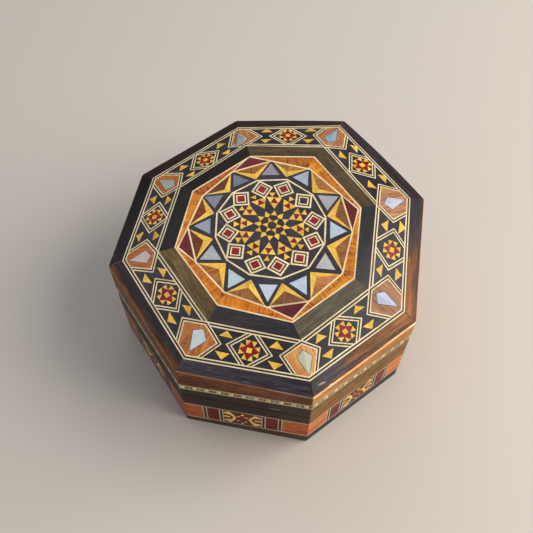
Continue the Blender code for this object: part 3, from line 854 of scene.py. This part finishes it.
def heartTiles(middle):
    tiles = []
    box = np.array([(-1, -1), (1, -1), (1, 1), (-1, 1)]) * (starWork["squareSide"] / 1000 * plan["radius"] / 2)
    # darker brown tiles between the squares and the small triangles
    for small in starPlaces("smalls", 12, 3):
        point, one, two = small
        wide = (one - two) * 0.92
        skirt = [point, one + wide * 0.25, one, point + (one - point) * 0.2 + wide * 0.5]
        tiles.append(tile(skirt, "brownBlack", wobble=0.2))
        base = (one + two) / 2
        peak = base + unit(base - middle) * 2.2
        pad = [point + wide * 1.05, point - wide * 1.05, two - wide * 0.35, peak, one + wide * 0.35]
        tiles.append(tile(pad, "brownBlack", float(dice.uniform(0, 90)), wobble=0.25))
        tiles.append(tile(small, "yellow", float(dice.uniform(0, 180)), wobble=0.12, seam=0.03))
    for inner, one, two in starPlaces("fours", 12, 3):
        first, second, third = (inner + one) / 2, (one + two) / 2, (two + inner) / 2
        for loop, wood, tint in (
            ((inner, first, third), "yellow", (1.0, 1.0, 1.0)),
            ((one, second, first), "yellow", (1.0, 1.0, 1.0)),
            ((two, third, second), "yellow", (1.0, 1.0, 1.0)),
            ((first, second, third), "red", (0.82, 0.75, 0.85)),
        ):
            lean = leanOf(one - inner) + float(dice.choice((0.0, 60.0, 120.0)))
            tiles.append(tile(loop, wood, lean, tint, 0.12, 0.03))
    for index, place in enumerate(starPlaces("squares", 12)):
        turn = starWork["squareTurns"][index]
        # one square has lost its red middle
        for share, wood in (
            (1.0, "cream"), (0.79, "black"), (0.60, "cream"), (0.45, "brownBlack" if index == 2 else "red")
        ):
            tiles.append(tile(turned(box * share, turn, place), wood, turn + 12.0, wobble=0.06))
    # the flower in the middle: a hexagon, six points, six brown wedges and twelve kites
    work, radius = starWork["flower"], plan["radius"]

    def put(spokes, wood, turn, **look):
        tiles.append(tile(middle + ringOf(spokes) * radius, wood, turn, **look))
    for turn in 30.0 + 60.0 * np.arange(6):
        put([
            (work["hexagon"], turn), (work["foot"], turn - 30.0), (work["shoulder"], turn - 15.0),
            (work["head"], turn), (work["shoulder"], turn + 15.0), (work["foot"], turn + 30.0),
        ], "brownBlack", turn, tint=(1.25, 1.05, 0.85), wobble=0.15)
    for step, turn in enumerate(30.0 * np.arange(12)):
        tip = (work["tip"], turn + float(dice.uniform(-1.5, 1.5)))
        kite = [
            (work["head"] if step % 2 else work["low"], turn), (work["kite"], turn - 14.2),
            tip, (work["kite"], turn + 14.2)
        ]
        put(kite, "yellow", turn, wobble=0.12, seam=0.03)
    for turn in 60.0 * np.arange(6):
        point = [(work["hexagon"], turn - 30.0), (work["point"], turn), (work["hexagon"], turn + 30.0)]
        put(point, "yellow", turn, wobble=0.12, seam=0.03)
    put(
        [(work["hexagon"], turn) for turn in 30.0 + 60.0 * np.arange(6)], "brownBlack", 10.0,
        tint=(1.35, 1.25, 0.9), wobble=0.0
    )
    return tiles


sheet = laySheet(inset(panel, 0.04), orangeTiles(), lifted(levelTop), plan["veneer"], hole=inset(starEdge, -0.02))
makePiece("orangePanel", [sheet], ["middle_panel"])
sheet = laySheet(starEdge, starTiles(), lifted(levelTop), 1.2)
makePiece("twelvePointStar", [sheet], ["star"])
print("star laid")


# boards of the body and the lid

boardWork = {
    "ease": 0.3,
    "easeSteps": (0.0, 1.0, 2.2),  # stations by a corner, in eases from it
    "easeDepth": (0.75, 0.18),  # how far the first two are drawn in, in eases
    "easedWithin": 1.0,  # rows nearer the outer face than this are eased
    "stations": (0.04, 0.96, 24),  # first and last share of the length, and how many
    "gap": 0.06,  # glue gap at each end
}


def board(side, profile, tiles, marks=None):
    # A section carried along one side. Each row of the profile is: distance inside the outer
    # face, height at the side's start, height at its end, and the tile from this row to the
    # next. The ends meet the neighbours on the mitre, with the arris eased.
    reach, ease = sideFrame(side)[2], boardWork["ease"]
    start, end = outer[side], outer[(side + 1) % 8]
    length = float(np.linalg.norm(end - start))
    rows = np.array([r[:3] for r in profile], float)
    owner = [r[3] for r in profile]
    near = np.array(boardWork["easeSteps"]) * ease / length
    stations = np.concatenate([near, np.linspace(*boardWork["stations"]), 1 - near[::-1]])
    draw = np.zeros(len(stations))
    for step, depth in enumerate(boardWork["easeDepth"]):
        draw[[step, -1 - step]] = ease * depth
    depths = rows[:, :1] + draw * (rows[:, :1] < boardWork["easedWithin"])
    share = (reach - depths) / reach
    trim = boardWork["gap"] / length
    where = trim + stations * (1 - 2 * trim)
    spot = start * (share * (1 - where))[..., None] + end * (share * where)[..., None]
    height = rows[:, 1:2] * (1 - where) + rows[:, 2:3] * where
    count, steps = len(rows), len(stations)
    points = np.concatenate([(spot + axis).reshape(-1, 2), height.reshape(-1, 1)], 1) * mm
    index = np.arange(count * steps).reshape(count, steps)
    following = np.roll(index, -1, 0)
    quads = np.stack([index[:, :-1], index[:, 1:], following[:, 1:], following[:, :-1]], -1).reshape(-1, 4)
    caps = [index[::-1, 0].tolist(), index[:, -1].tolist()]
    # the grain map unrolls the section: along the side, and round the profile from its first row
    climb = np.hypot(np.diff(rows[:, 0]), np.diff((rows[:, 1] + rows[:, 2]) / 2))
    unrolled = np.concatenate([[0.0], np.cumsum(climb)])
    flat = np.stack(np.broadcast_arrays(where * length, unrolled[:, None]), -1).reshape(-1, 2)
    rub = np.zeros((count, steps))
    if marks is not None:
        rub += np.interp(where, np.linspace(0, 1, len(marks)), marks)
    return {
        "points": points,
        "flat": flat,
        "faces": quads.tolist() + caps,
        "owner": np.concatenate([np.repeat(np.array(owner), steps - 1), [0, 0]]),
        "tiles": tiles,
        "rub": rub.ravel(),
    }


sideWork = {
    # middle of the mosaic line as a share of the lid side's height, corner by corner
    "lineLevel": (0.345, 0.485, 0.400, 0.340, 0.290, 0.250, 0.225, 0.225),
    "lineHeight": 5.0,
    "lidSide": 29.4,
    "grooves": (1.2, 1.0),  # behind the inlaid band and behind the mosaic line
    "bevelRun": 6.9,
    "shelf": 59.0,  # height of the shelf that carries the lid's board
    # lower and upper edge of the inlaid band at each corner
    "inlayLow": (5.3, 8.2, 8.3, 6.4, 6.0, 6.0, 5.6, 5.0),
    "inlayHigh": (24.7, 27.2, 27.6, 26.0, 25.6, 25.6, 25.0, 24.2),
    "upperWood": ("brownVeneer",) + ("tanVeneer",) * 2 + ("brownVeneer",) * 5,
    "lowerWood": ("darkWall",) + ("goldWall",) * 2 + ("darkWall",) * 5,
    "baseWood": ("darkWall",) + ("blueBlack",) * 2 + ("darkWall",) * 5,
    "baseTint": (
        (2.3, 1.8, 1.4), (0.8, 0.75, 0.75), (0.8, 0.75, 0.75), (1.4, 1.2, 1.0),
        (1.2, 1.0, 0.8), (1.2, 1.0, 0.8), (1.3, 1.0, 0.8), (3.0, 1.25, 0.65)
    ),
    "lowerTint": (
        (0.68, 0.48, 0.32), (1.12, 0.98, 0.74), (1.1, 0.96, 0.74), (0.84, 0.72, 0.60),
        (0.84, 0.72, 0.60), (0.84, 0.72, 0.60), (0.9, 0.8, 0.7), (1.06, 0.98, 0.88)
    ),
    "upperTint": (
        (1.12, 0.76, 0.42), (1.16, 1.12, 0.92), (1.12, 1.08, 0.9), (1.05, 0.82, 0.55),
        (1.05, 0.82, 0.55), (1.05, 0.82, 0.55), (1.05, 0.80, 0.52), (1.03, 0.74, 0.44)
    ),
    # strength of the painted highlight under the lid's upper arris, side by side, brightest on the front right
    # where the light falls; then that strip's height
    "arrisHighlightTint": (0.62, 2.1, 1.2, 0.45, 0.25, 0.30, 0.45, 0.62),
    "edgeHeight": (0.9, 1.9, 1.2, 1.0, 0.9, 0.9, 0.9, 0.9),
    # how far the lid's outer edge bows out between its corners
    "bow": (0.0, 0.0, 0.0, 0.9, 0.3, 0.0, 0.0, 0.0),
    "bevelTint": ((0.92, 0.85, 0.82), (0.90, 0.84, 0.76), (0.68, 0.60, 0.54), (0.74, 0.66, 0.56),
                  (0.60, 0.44, 0.27), (0.50, 0.34, 0.22), (0.25, 0.20, 0.16), (0.46, 0.40, 0.34)),
    # wear of the bevel at nine places from the side's start to its end
    "bevelRub": (
        (0.10, 0.0, 0.0, 0.0, 0.0, 0.0, 0.05, 0.15, 0.2), (-0.1, 0.0, 0.35, 0.65, 0.8, 0.85, 0.95, 1.2, 1.5),
        (1.7, 1.5, 1.2, 0.95, 0.75, 0.4, 0.0, -0.3, -0.3),
        (0.1, 0.0, 0.0, 0.05, 0.1, 0.1, 0.15, 0.1, 0.1), (0.1, 0.0, 0.1, 0.1, 0.0, 0.0, 0.0, 0.1, 0.1),
        (0.1, 0.0, 0.0, 0.05, 0.0, 0.0, 0.0, 0.1, 0.1),
        (0.1, 0.0, 0.0, 0.0, 0.0, 0.0, 0.0, 0.0, 0.1), (0.1, 0.0, 0.0, 0.0, 0.0, 0.0, 0.05, 0.1, 0.15),
    ),
    # how much of that wear reaches each row of the bevel, from the lower arris up
    "rubAcross": (0.10, 0.25, 1.0, 0.70),
    # rubbing of the lower arris, per side, and its share on the rows from below it to above
    "arrisRub": (0.25, 0.5, 0.4, 0.1, 0.0, 0.1, 0.2, 0.9),
    "arrisRows": (1.0, 1.0, 0.6),
}


def lineMiddle(corner):
    return plan["lidFoot"] + sideWork["lidSide"] * sideWork["lineLevel"][corner % 8]


def inlayEdges(side):
    # lower and upper edge of the inlaid band, each at the side's start and at its end
    low, high = sideWork["inlayLow"], sideWork["inlayHigh"]
    after = (side + 1) % 8
    return low[side], low[after], high[side], high[after]


def bodyWall(side):
    low, lowEnd, high, highEnd = inlayEdges(side)
    top, wall, deep = plan["bodyTop"], plan["wall"], sideWork["grooves"][0]
    tiles = [
        facing("bare", wobble=0.06),
        facing(sideWork["baseWood"][side], sideWork["baseTint"][side]),
        facing("glue", wobble=0.06),
        facing(sideWork["lowerWood"][side], sideWork["lowerTint"][side]),
    ]
    return board(side, [
        (0.35, 0.0, 0.0, 1), (0.08, 0.12, 0.12, 1), (0.0, 0.3, 0.3, 1), (0.0, low, lowEnd, 2),
        (deep, low, lowEnd, 2), (deep, high, highEnd, 2), (0.0, high, highEnd, 3), (0.0, top - 0.25, top - 0.25, 3),
        (0.05, top - 0.06, top - 0.06, 3), (0.2, top, top, 0), (wall, top, top, 0), (wall, 0.0, 0.0, 0),
    ], tiles)


def lidSide(side):
    after = (side + 1) % 8
    half = sideWork["lineHeight"] / 2
    foot, top, wall = plan["lidFoot"], plan["rimHeight"], plan["wall"]
    deep, run, shelf = sideWork["grooves"][1], sideWork["bevelRun"], sideWork["shelf"]
    middle, middleEnd = lineMiddle(side), lineMiddle(after)
    drop, dropEnd = top - plan["bevelDrop"][side], top - plan["bevelDrop"][after]
    edge, arrisHighlightTint = sideWork["edgeHeight"][side], sideWork["arrisHighlightTint"][side]
    tiles = [
        facing("bare", wobble=0.06),
        facing(sideWork["lowerWood"][side], sideWork["lowerTint"][side]),
        facing("glue", wobble=0.06),
        facing(sideWork["upperWood"][side], sideWork["upperTint"][side]),
        # the strip under the upper arris carries a painted highlight, its strength set per side
        facing("paleEdge", (arrisHighlightTint,) * 3),
        facing("bevel", sideWork["bevelTint"][side]),
    ]
    profile = [
        (0.2, foot, foot, 1), (0.05, foot + 0.06, foot + 0.06, 1), (0.0, foot + 0.25, foot + 0.25, 1),
        (0.0, middle - half, middleEnd - half, 2), (deep, middle - half, middleEnd - half, 2),
        (deep, middle + half, middleEnd + half, 2), (0.0, middle + half, middleEnd + half, 3),
        (0.0, drop - edge, dropEnd - edge, 4), (0.05, drop - 0.35, dropEnd - 0.35, 4), (0.3, drop, dropEnd, 5),
    ]
    arris = len(profile) - 1
    profile += [
        (1.5, drop + 0.1, dropEnd + 0.1, 5), (4.0, drop, dropEnd, 5), (run, top, top, 0),
        (run, shelf, shelf, 0), (wall, shelf, shelf, 0), (wall, foot, foot, 0),
    ]
    sheet = board(side, profile, tiles, sideWork["bevelRub"][side])
    # the bevel's inner edge follows the rim line as it was cut, and the face between is ruled
    rows = sheet["points"].reshape(len(profile), -1, 3)
    start, end = outer[side], outer[after]
    span = ((rows[arris, :, :2] / mm - axis) - start) @ unit(end - start) / np.linalg.norm(end - start)
    span = np.clip(span, 0.0, 1.0)
    inner = (rim[side] * (1 - span)[:, None] + rim[after] * span[:, None]) + axis
    # a bow is 0 at both ends and whole in the middle: 4 times the share done, times the share left
    arch = 4 * span * (1 - span) * sideWork["bow"][side]
    rows[arris - 3:arris + 1, :, :2] += (arch[:, None] * sideFrame(side)[1]) * mm
    lower = rows[arris] / mm
    upper = np.concatenate([inner, np.full((len(span), 1), top)], 1)
    for row, share in enumerate((0.2, 0.6, 1.0), arris + 1):
        rows[row] = (lower * (1 - share) + upper * share) * mm
    rows[arris + 4, :, :2] = inner * mm
    sheet["points"] = rows.reshape(-1, 3)
    wear = sheet["rub"].reshape(len(profile), -1)
    wear[arris:arris + 4] *= np.array(sideWork["rubAcross"])[:, None]
    wear[arris - 1:arris + 2] += sideWork["arrisRub"][side] * np.array(sideWork["arrisRows"])[:, None]
    return sheet


def onFace(side, sunk):
    # (along, height) on a side's outer face, to space; depth goes inward
    along, out, _ = sideFrame(side)

    def lift(points, depth):
        spot = outer[side] + points[:, :1] * along - out * (sunk + depth)
        return np.concatenate([spot + axis, points[:, 1:]], 1) * mm
    return lift


inlayWork = {
    "unit": 40.4,  # burgundy, bars and mosaic together
    "shift": (-1.8, 1.2, 0.4, -0.6, 0.3, -0.5, 0.8, -0.2),
    "bars": (0.0, 0.55, 1.7, 2.25),
    "burgundy": 6.1,
    "border": 1.0,
    "trim": 0.12,  # the inlay and the mosaic line stop this far from a corner
    "sunk": 0.02,
    "thickness": 1.1,
    "cell": (19.4, 20.5),  # width and height that the figures below are drawn for
    "rosetteSize": 1.14,
    "ground": (
        (1.18, 0.80, 0.48), (1.5, 1.26, 0.82), (1.4, 1.2, 0.86), (1.2, 0.9, 0.62),
        (1.15, 0.88, 0.6), (1.15, 0.88, 0.6), (1.15, 0.85, 0.58), (0.98, 0.66, 0.42)
    ),
    "tints": {"terracotta": (0.45, 0.30, 0.20), "cream": (1.25, 0.96, 0.50), "red": (1.2, 0.4, 0.35)},
    # one half of the cut stars beside the rosette, from the mosaic's middle
    "halfStar": (
        ("cream", ((-9.5, 6.0), (-6.7, 8.6), (-4.0, 3.4), (-5.4, 2.5), (-6.6, 3.8), (-9.5, 4.5))),
        ("cream", ((-9.5, -4.6), (-6.6, -3.8), (-5.4, -2.7), (-4.0, -3.6), (-6.0, -8.6), (-9.5, -6.4))),
        ("cream", ((-4.0, 3.6), (-3.0, 0.1), (-4.0, -3.6), (-5.6, -2.8), (-5.0, 0.0), (-5.6, 2.7))),
        ("cream", ((-9.5, 1.6), (-6.5, 1.0), (-6.0, 0.1), (-6.5, -0.9), (-9.5, -1.2))),
        ("red", ((-6.0, 1.8), (-5.0, 1.2), (-4.5, -0.4), (-5.4, -1.8), (-6.0, -0.9), (-5.6, 0.2))),
        ("terracotta", ((-9.4, 2.2), (-7.4, 3.0), (-6.2, 2.0), (-7.8, 1.9))),
        ("terracotta", ((-9.4, -2.6), (-7.8, -1.6), (-6.2, -1.8), (-7.4, -3.4))),
        ("terracotta", ((-5.4, 7.6), (-3.3, 7.2), (-1.6, 5.2), (-3.2, 4.2))),
        ("terracotta", ((-5.4, -7.9), (-3.2, -4.6), (-1.7, -6.0), (-3.2, -7.8))),
    ),
    "rosette": (
        (
            "red",
            (
                (-3.0, 1.2), (-0.9, 0.9), (-0.9, 3.8), (0.8, 3.6), (0.9, 0.6), (2.8, 1.0),
                (2.5, -2.8), (0.6, -1.9), (0.8, -5.4), (-1.1, -4.8), (-0.9, -1.8), (-2.8, -2.5)
            )
        ),
        ("cream", ((-2.8, 1.9), (-1.6, 3.7), (-1.0, 1.6))),
        ("cream", ((-1.0, 4.4), (0.1, 6.7), (1.1, 4.9), (0.0, 4.1))),
        ("cream", ((1.1, 3.3), (2.4, 2.7), (2.6, 1.5), (1.1, 1.4))),
        ("cream", ((-2.6, -3.4), (-1.4, -2.5), (-1.5, -4.6))),
        ("cream", ((-1.1, -5.6), (0.9, -6.0), (0.0, -7.6))),
        ("cream", ((1.0, -2.9), (2.2, -3.4), (1.6, -4.9), (1.0, -4.4))),
    ),
}


def sideInlay(side):
    work, end = inlayWork, inlayWork["trim"]
    length = float(np.linalg.norm(outer[(side + 1) % 8] - outer[side]))
    low, lowEnd, high, highEnd = inlayEdges(side)

    def warp(points):
        # (along, share of the band's height) to (along, height)
        points = np.asarray(points, float)
        where = points[:, 0] / length
        bottom = low + (lowEnd - low) * where
        return np.stack([points[:, 0], bottom + points[:, 1] * (high + (highEnd - high) * where - bottom)], 1)

    def upright(first, last, foot=0.0, head=1.0):
        return warp([(first, foot), (last, foot), (last, head), (first, head)])
    outline = upright(end, length - end)
    tiles = [tile(outline, "terracotta", 0.0, work["ground"][side], 0.04)]
    begin = (length - work["unit"]) / 2 + work["shift"][side]
    finish = begin + work["unit"]
    tiles.append(tile(upright(finish, length - end), "terracotta", 4.0, work["ground"][side], 0.08))
    _, barStart, barEnd, bars = work["bars"]
    wide = work["burgundy"]
    cell = (begin + bars * 2 + wide, finish - bars * 2 - wide)

    def bar(start, way, near, far, wood, turn, tint, wobble=0.06):
        first, last = sorted((start + way * near, start + way * far))
        tiles.append(tile(upright(first, last), wood, turn, tint, wobble))
    for start, way in ((begin, 1.0), (finish, -1.0)):
        bar(start, way, 0.0, bars * 2 + wide, "cream", 90.0, (0.86, 0.86, 0.82))
        bar(start, way, bars, bars + wide, "burgundy", 0.0, (1.35, 0.10, 0.05), 0.12)
        for shift in (0.0, bars + wide):
            bar(start, way, shift + barStart, shift + barEnd, "blueBlack", 90.0, (0.30, 0.52, 0.75))
    tiles.append(tile(upright(*cell), "brownVeneer", 90.0, (0.62, 0.40, 0.26)))
    middle = (cell[0] + cell[1]) / 2
    stretch = (cell[1] - cell[0]) / work["cell"][0]

    def put(points, wood, mirror):
        points = np.array(points, float)
        points[:, 0] = points[:, 0] * mirror * stretch + middle
        points[:, 1] = 0.5 + points[:, 1] / work["cell"][1]
        tiles.append(tile(warp(points), wood, float(dice.uniform(0, 180)), work["tints"][wood], 0.12, 0.03))
    for mirror in (1.0, -1.0):
        for wood, points in work["halfStar"]:
            put(points, wood, mirror)
    for wood, points in work["rosette"]:
        put(np.array(points) * work["rosetteSize"], wood, 1.0)
    rail = work["border"] / (high - low)
    for foot, head in ((0.0, rail), (1 - rail, 1.0)):
        tiles.append(tile(upright(end, length - end, foot, head), "cream", 0.0, (0.74, 0.74, 0.70), 0.06))
    return laySheet(outline, tiles, onFace(side, work["sunk"]), work["thickness"])


lineWork = {
    "tints": {
        "cream": (1.08, 1.05, 0.80), "red": (1.5, 1.4, 1.3), "green": (1.05, 1.1, 1.1), "black": (0.7, 0.6, 0.5)
    },
    "pitch": 11.8,
    "border": 1.15,
    "thickness": 0.9,
    # start and width of each little block in one repeat
    "blocks": (("cream", 0.0, 1.35), ("black", 1.65, 0.8), ("red", 2.7, 1.15), ("black", 4.1, 0.8),
               ("cream", 5.9, 1.35), ("black", 7.55, 0.8), ("green", 8.6, 1.15), ("black", 10.0, 0.8)),
    "start": (-10.85, -3.6, -3.0, -9.0, -5.0, -2.0, -7.0, -4.2),
}


def mosaicLine(side):
    # blocks cut from a rod, standing between two thin cream lines
    after = (side + 1) % 8
    length = float(np.linalg.norm(outer[after] - outer[side]))
    half = sideWork["lineHeight"] / 2 - 0.03
    middle, middleEnd = lineMiddle(side), lineMiddle(after)
    end = inlayWork["trim"]

    def upright(first, last, foot, head):
        points = np.array([(first, foot), (last, foot), (last, head), (first, head)], float)
        points[:, 1] += middle + (middleEnd - middle) * points[:, 0] / length
        return points
    outline = upright(end, length - end, -half, half)
    tiles = [tile(outline, "cream", 0.0, (0.78, 0.79, 0.70), 0.03)]
    inner = half - lineWork["border"]
    begin = lineWork["start"][side]
    while begin < length:
        for wood, shift, wide in lineWork["blocks"]:
            first = begin + shift + float(dice.uniform(-0.12, 0.12))
            last = first + wide * float(dice.uniform(0.88, 1.12))
            if first < end or last > length - end:
                continue
            kind = "brownBlack" if wood == "red" and dice.random() < 0.22 else wood
            tiles.append(tile(upright(first, last, -inner, inner), kind, 90.0, lineWork["tints"][wood], 0.14))
        begin += lineWork["pitch"] + float(dice.uniform(-0.15, 0.15))
    return laySheet(outline, tiles, onFace(side, inlayWork["sunk"]), lineWork["thickness"])


for side, name in enumerate(sideNames):
    makePiece("bodyWall_" + name, [bodyWall(side)], ["wall_" + name], sideFinishes)
    makePiece("sideInlay_" + name, [sideInlay(side)], ["inlay_" + name], sideFinishes)
    makePiece("lidSide_" + name, [lidSide(side)], ["lid_side_" + name], sideFinishes)
makePiece(
    "lidMosaicLine", [mosaicLine(side) for side in range(8)], ["lid_mosaic_line"], sideFinishes
)
print("walls built")

for node in ("floor", "lining", "lid_board"):
    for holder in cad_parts[node].material_slots:
        holder.material = finishes["bare"]

# floor, light and camera

stageWork = {"tone": "cbc3ba", "cloud": "c6c0b8", "size": 12.0, "below": 0.0002}


def layFloor(work):
    slab = Paint("paleFloor", Specular_IOR_Level=0.3)
    spot = slab.place()
    cloudy = slab.noise(spot, 6.0, 3.0)
    color = slab.mix(cloudy * 0.3, srgb(work["tone"]), srgb(work["cloud"]))
    slab.finish(Base_Color=color, Roughness=0.42 + slab.noise(spot, 30.0, 2.0) * 0.1)
    mesh = bpy.data.meshes.new("paleFloor")
    reach = work["size"] / 2
    mesh.from_pydata(
        [(-reach, -reach, 0), (reach, -reach, 0), (reach, reach, 0), (-reach, reach, 0)], [], [(0, 1, 2, 3)]
    )
    mesh.materials.append(slab.material)
    made = bpy.data.objects.new("paleFloor", mesh)
    bpy.context.scene.collection.objects.link(made)
    made.location.z = -work["below"]
    return made


ground = layFloor(stageWork)

lights = {
    # where, aimed at the box from there; width and height; watts; colour
    "window": {"place": (0.88, 0.12, 0.70), "size": (1.1, 1.1), "power": 18.0, "color": (1.0, 0.95, 0.88)},
    "overhead": {"place": (-0.30, 0.40, 0.95), "size": (1.2, 1.0), "power": 3.0, "color": (0.86, 0.92, 1.0)},
    "fill": {"place": (-0.6, -0.7, 0.5), "size": (0.8, 0.8), "power": 1.0, "color": (1.0, 0.98, 0.96)},
}
aim = Vector((0, 0, 0.04))
for name, light in lights.items():
    lamp = bpy.data.lights.new(name, "AREA")
    lamp.shape, lamp.size, lamp.size_y = "RECTANGLE", light["size"][0], light["size"][1]
    lamp.energy, lamp.color = light["power"], light["color"]
    holder = bpy.data.objects.new(name, lamp)
    holder.location = light["place"]
    holder.rotation_euler = (aim - Vector(light["place"])).to_track_quat("-Z", "Y").to_euler()
    bpy.context.scene.collection.objects.link(holder)

worldWork = {"Color": (0.93, 0.95, 1.0, 1.0), "Strength": 0.22}
world = bpy.data.worlds.new("softRoom")
world.use_nodes = True
for key, value in worldWork.items():
    world.node_tree.nodes["Background"].inputs[key].default_value = value
bpy.context.scene.world = world

cameraWork = {
    # turns in radians; the offsets along the camera's own axes are in plan radii
    "azimuth": 0.13748, "rise": 1.04654, "roll": 0.00988,
    "distance": 4.47235, "aside": -0.02592, "up": -0.17880, "lens": 50.183,
}


def viewCamera(work):
    # the camera looks down its own -z; its axes come from the azimuth, the rise and a slight roll
    azimuth, rise, roll = work["azimuth"], work["rise"], work["roll"]
    back = np.array([math.sin(azimuth) * math.cos(rise), -math.cos(azimuth) * math.cos(rise), math.sin(rise)])
    right = unit(np.cross([0, 0, 1], back))
    up = np.cross(back, right)
    right, up = right * math.cos(roll) + up * math.sin(roll), up * math.cos(roll) - right * math.sin(roll)
    axes = np.stack([right, up, back])
    offset = np.array([work["aside"], work["up"], work["distance"]]) @ axes * plan["radius"]
    spot = (offset + np.array([*axis, plan["rimHeight"]])) * mm
    eye = bpy.data.cameras.new("mainView")
    eye.lens, eye.sensor_width, eye.clip_start = work["lens"], 36.0, 0.01
    holder = bpy.data.objects.new("mainView", eye)
    matrix = np.eye(4)
    matrix[:3, :3], matrix[:3, 3] = axes.T, spot
    holder.matrix_world = Matrix(matrix.tolist())
    bpy.context.scene.collection.objects.link(holder)
    return holder


bpy.context.scene.camera = viewCamera(cameraWork)
bpy.context.scene.view_settings.view_transform = "Standard"

print("scene ready")
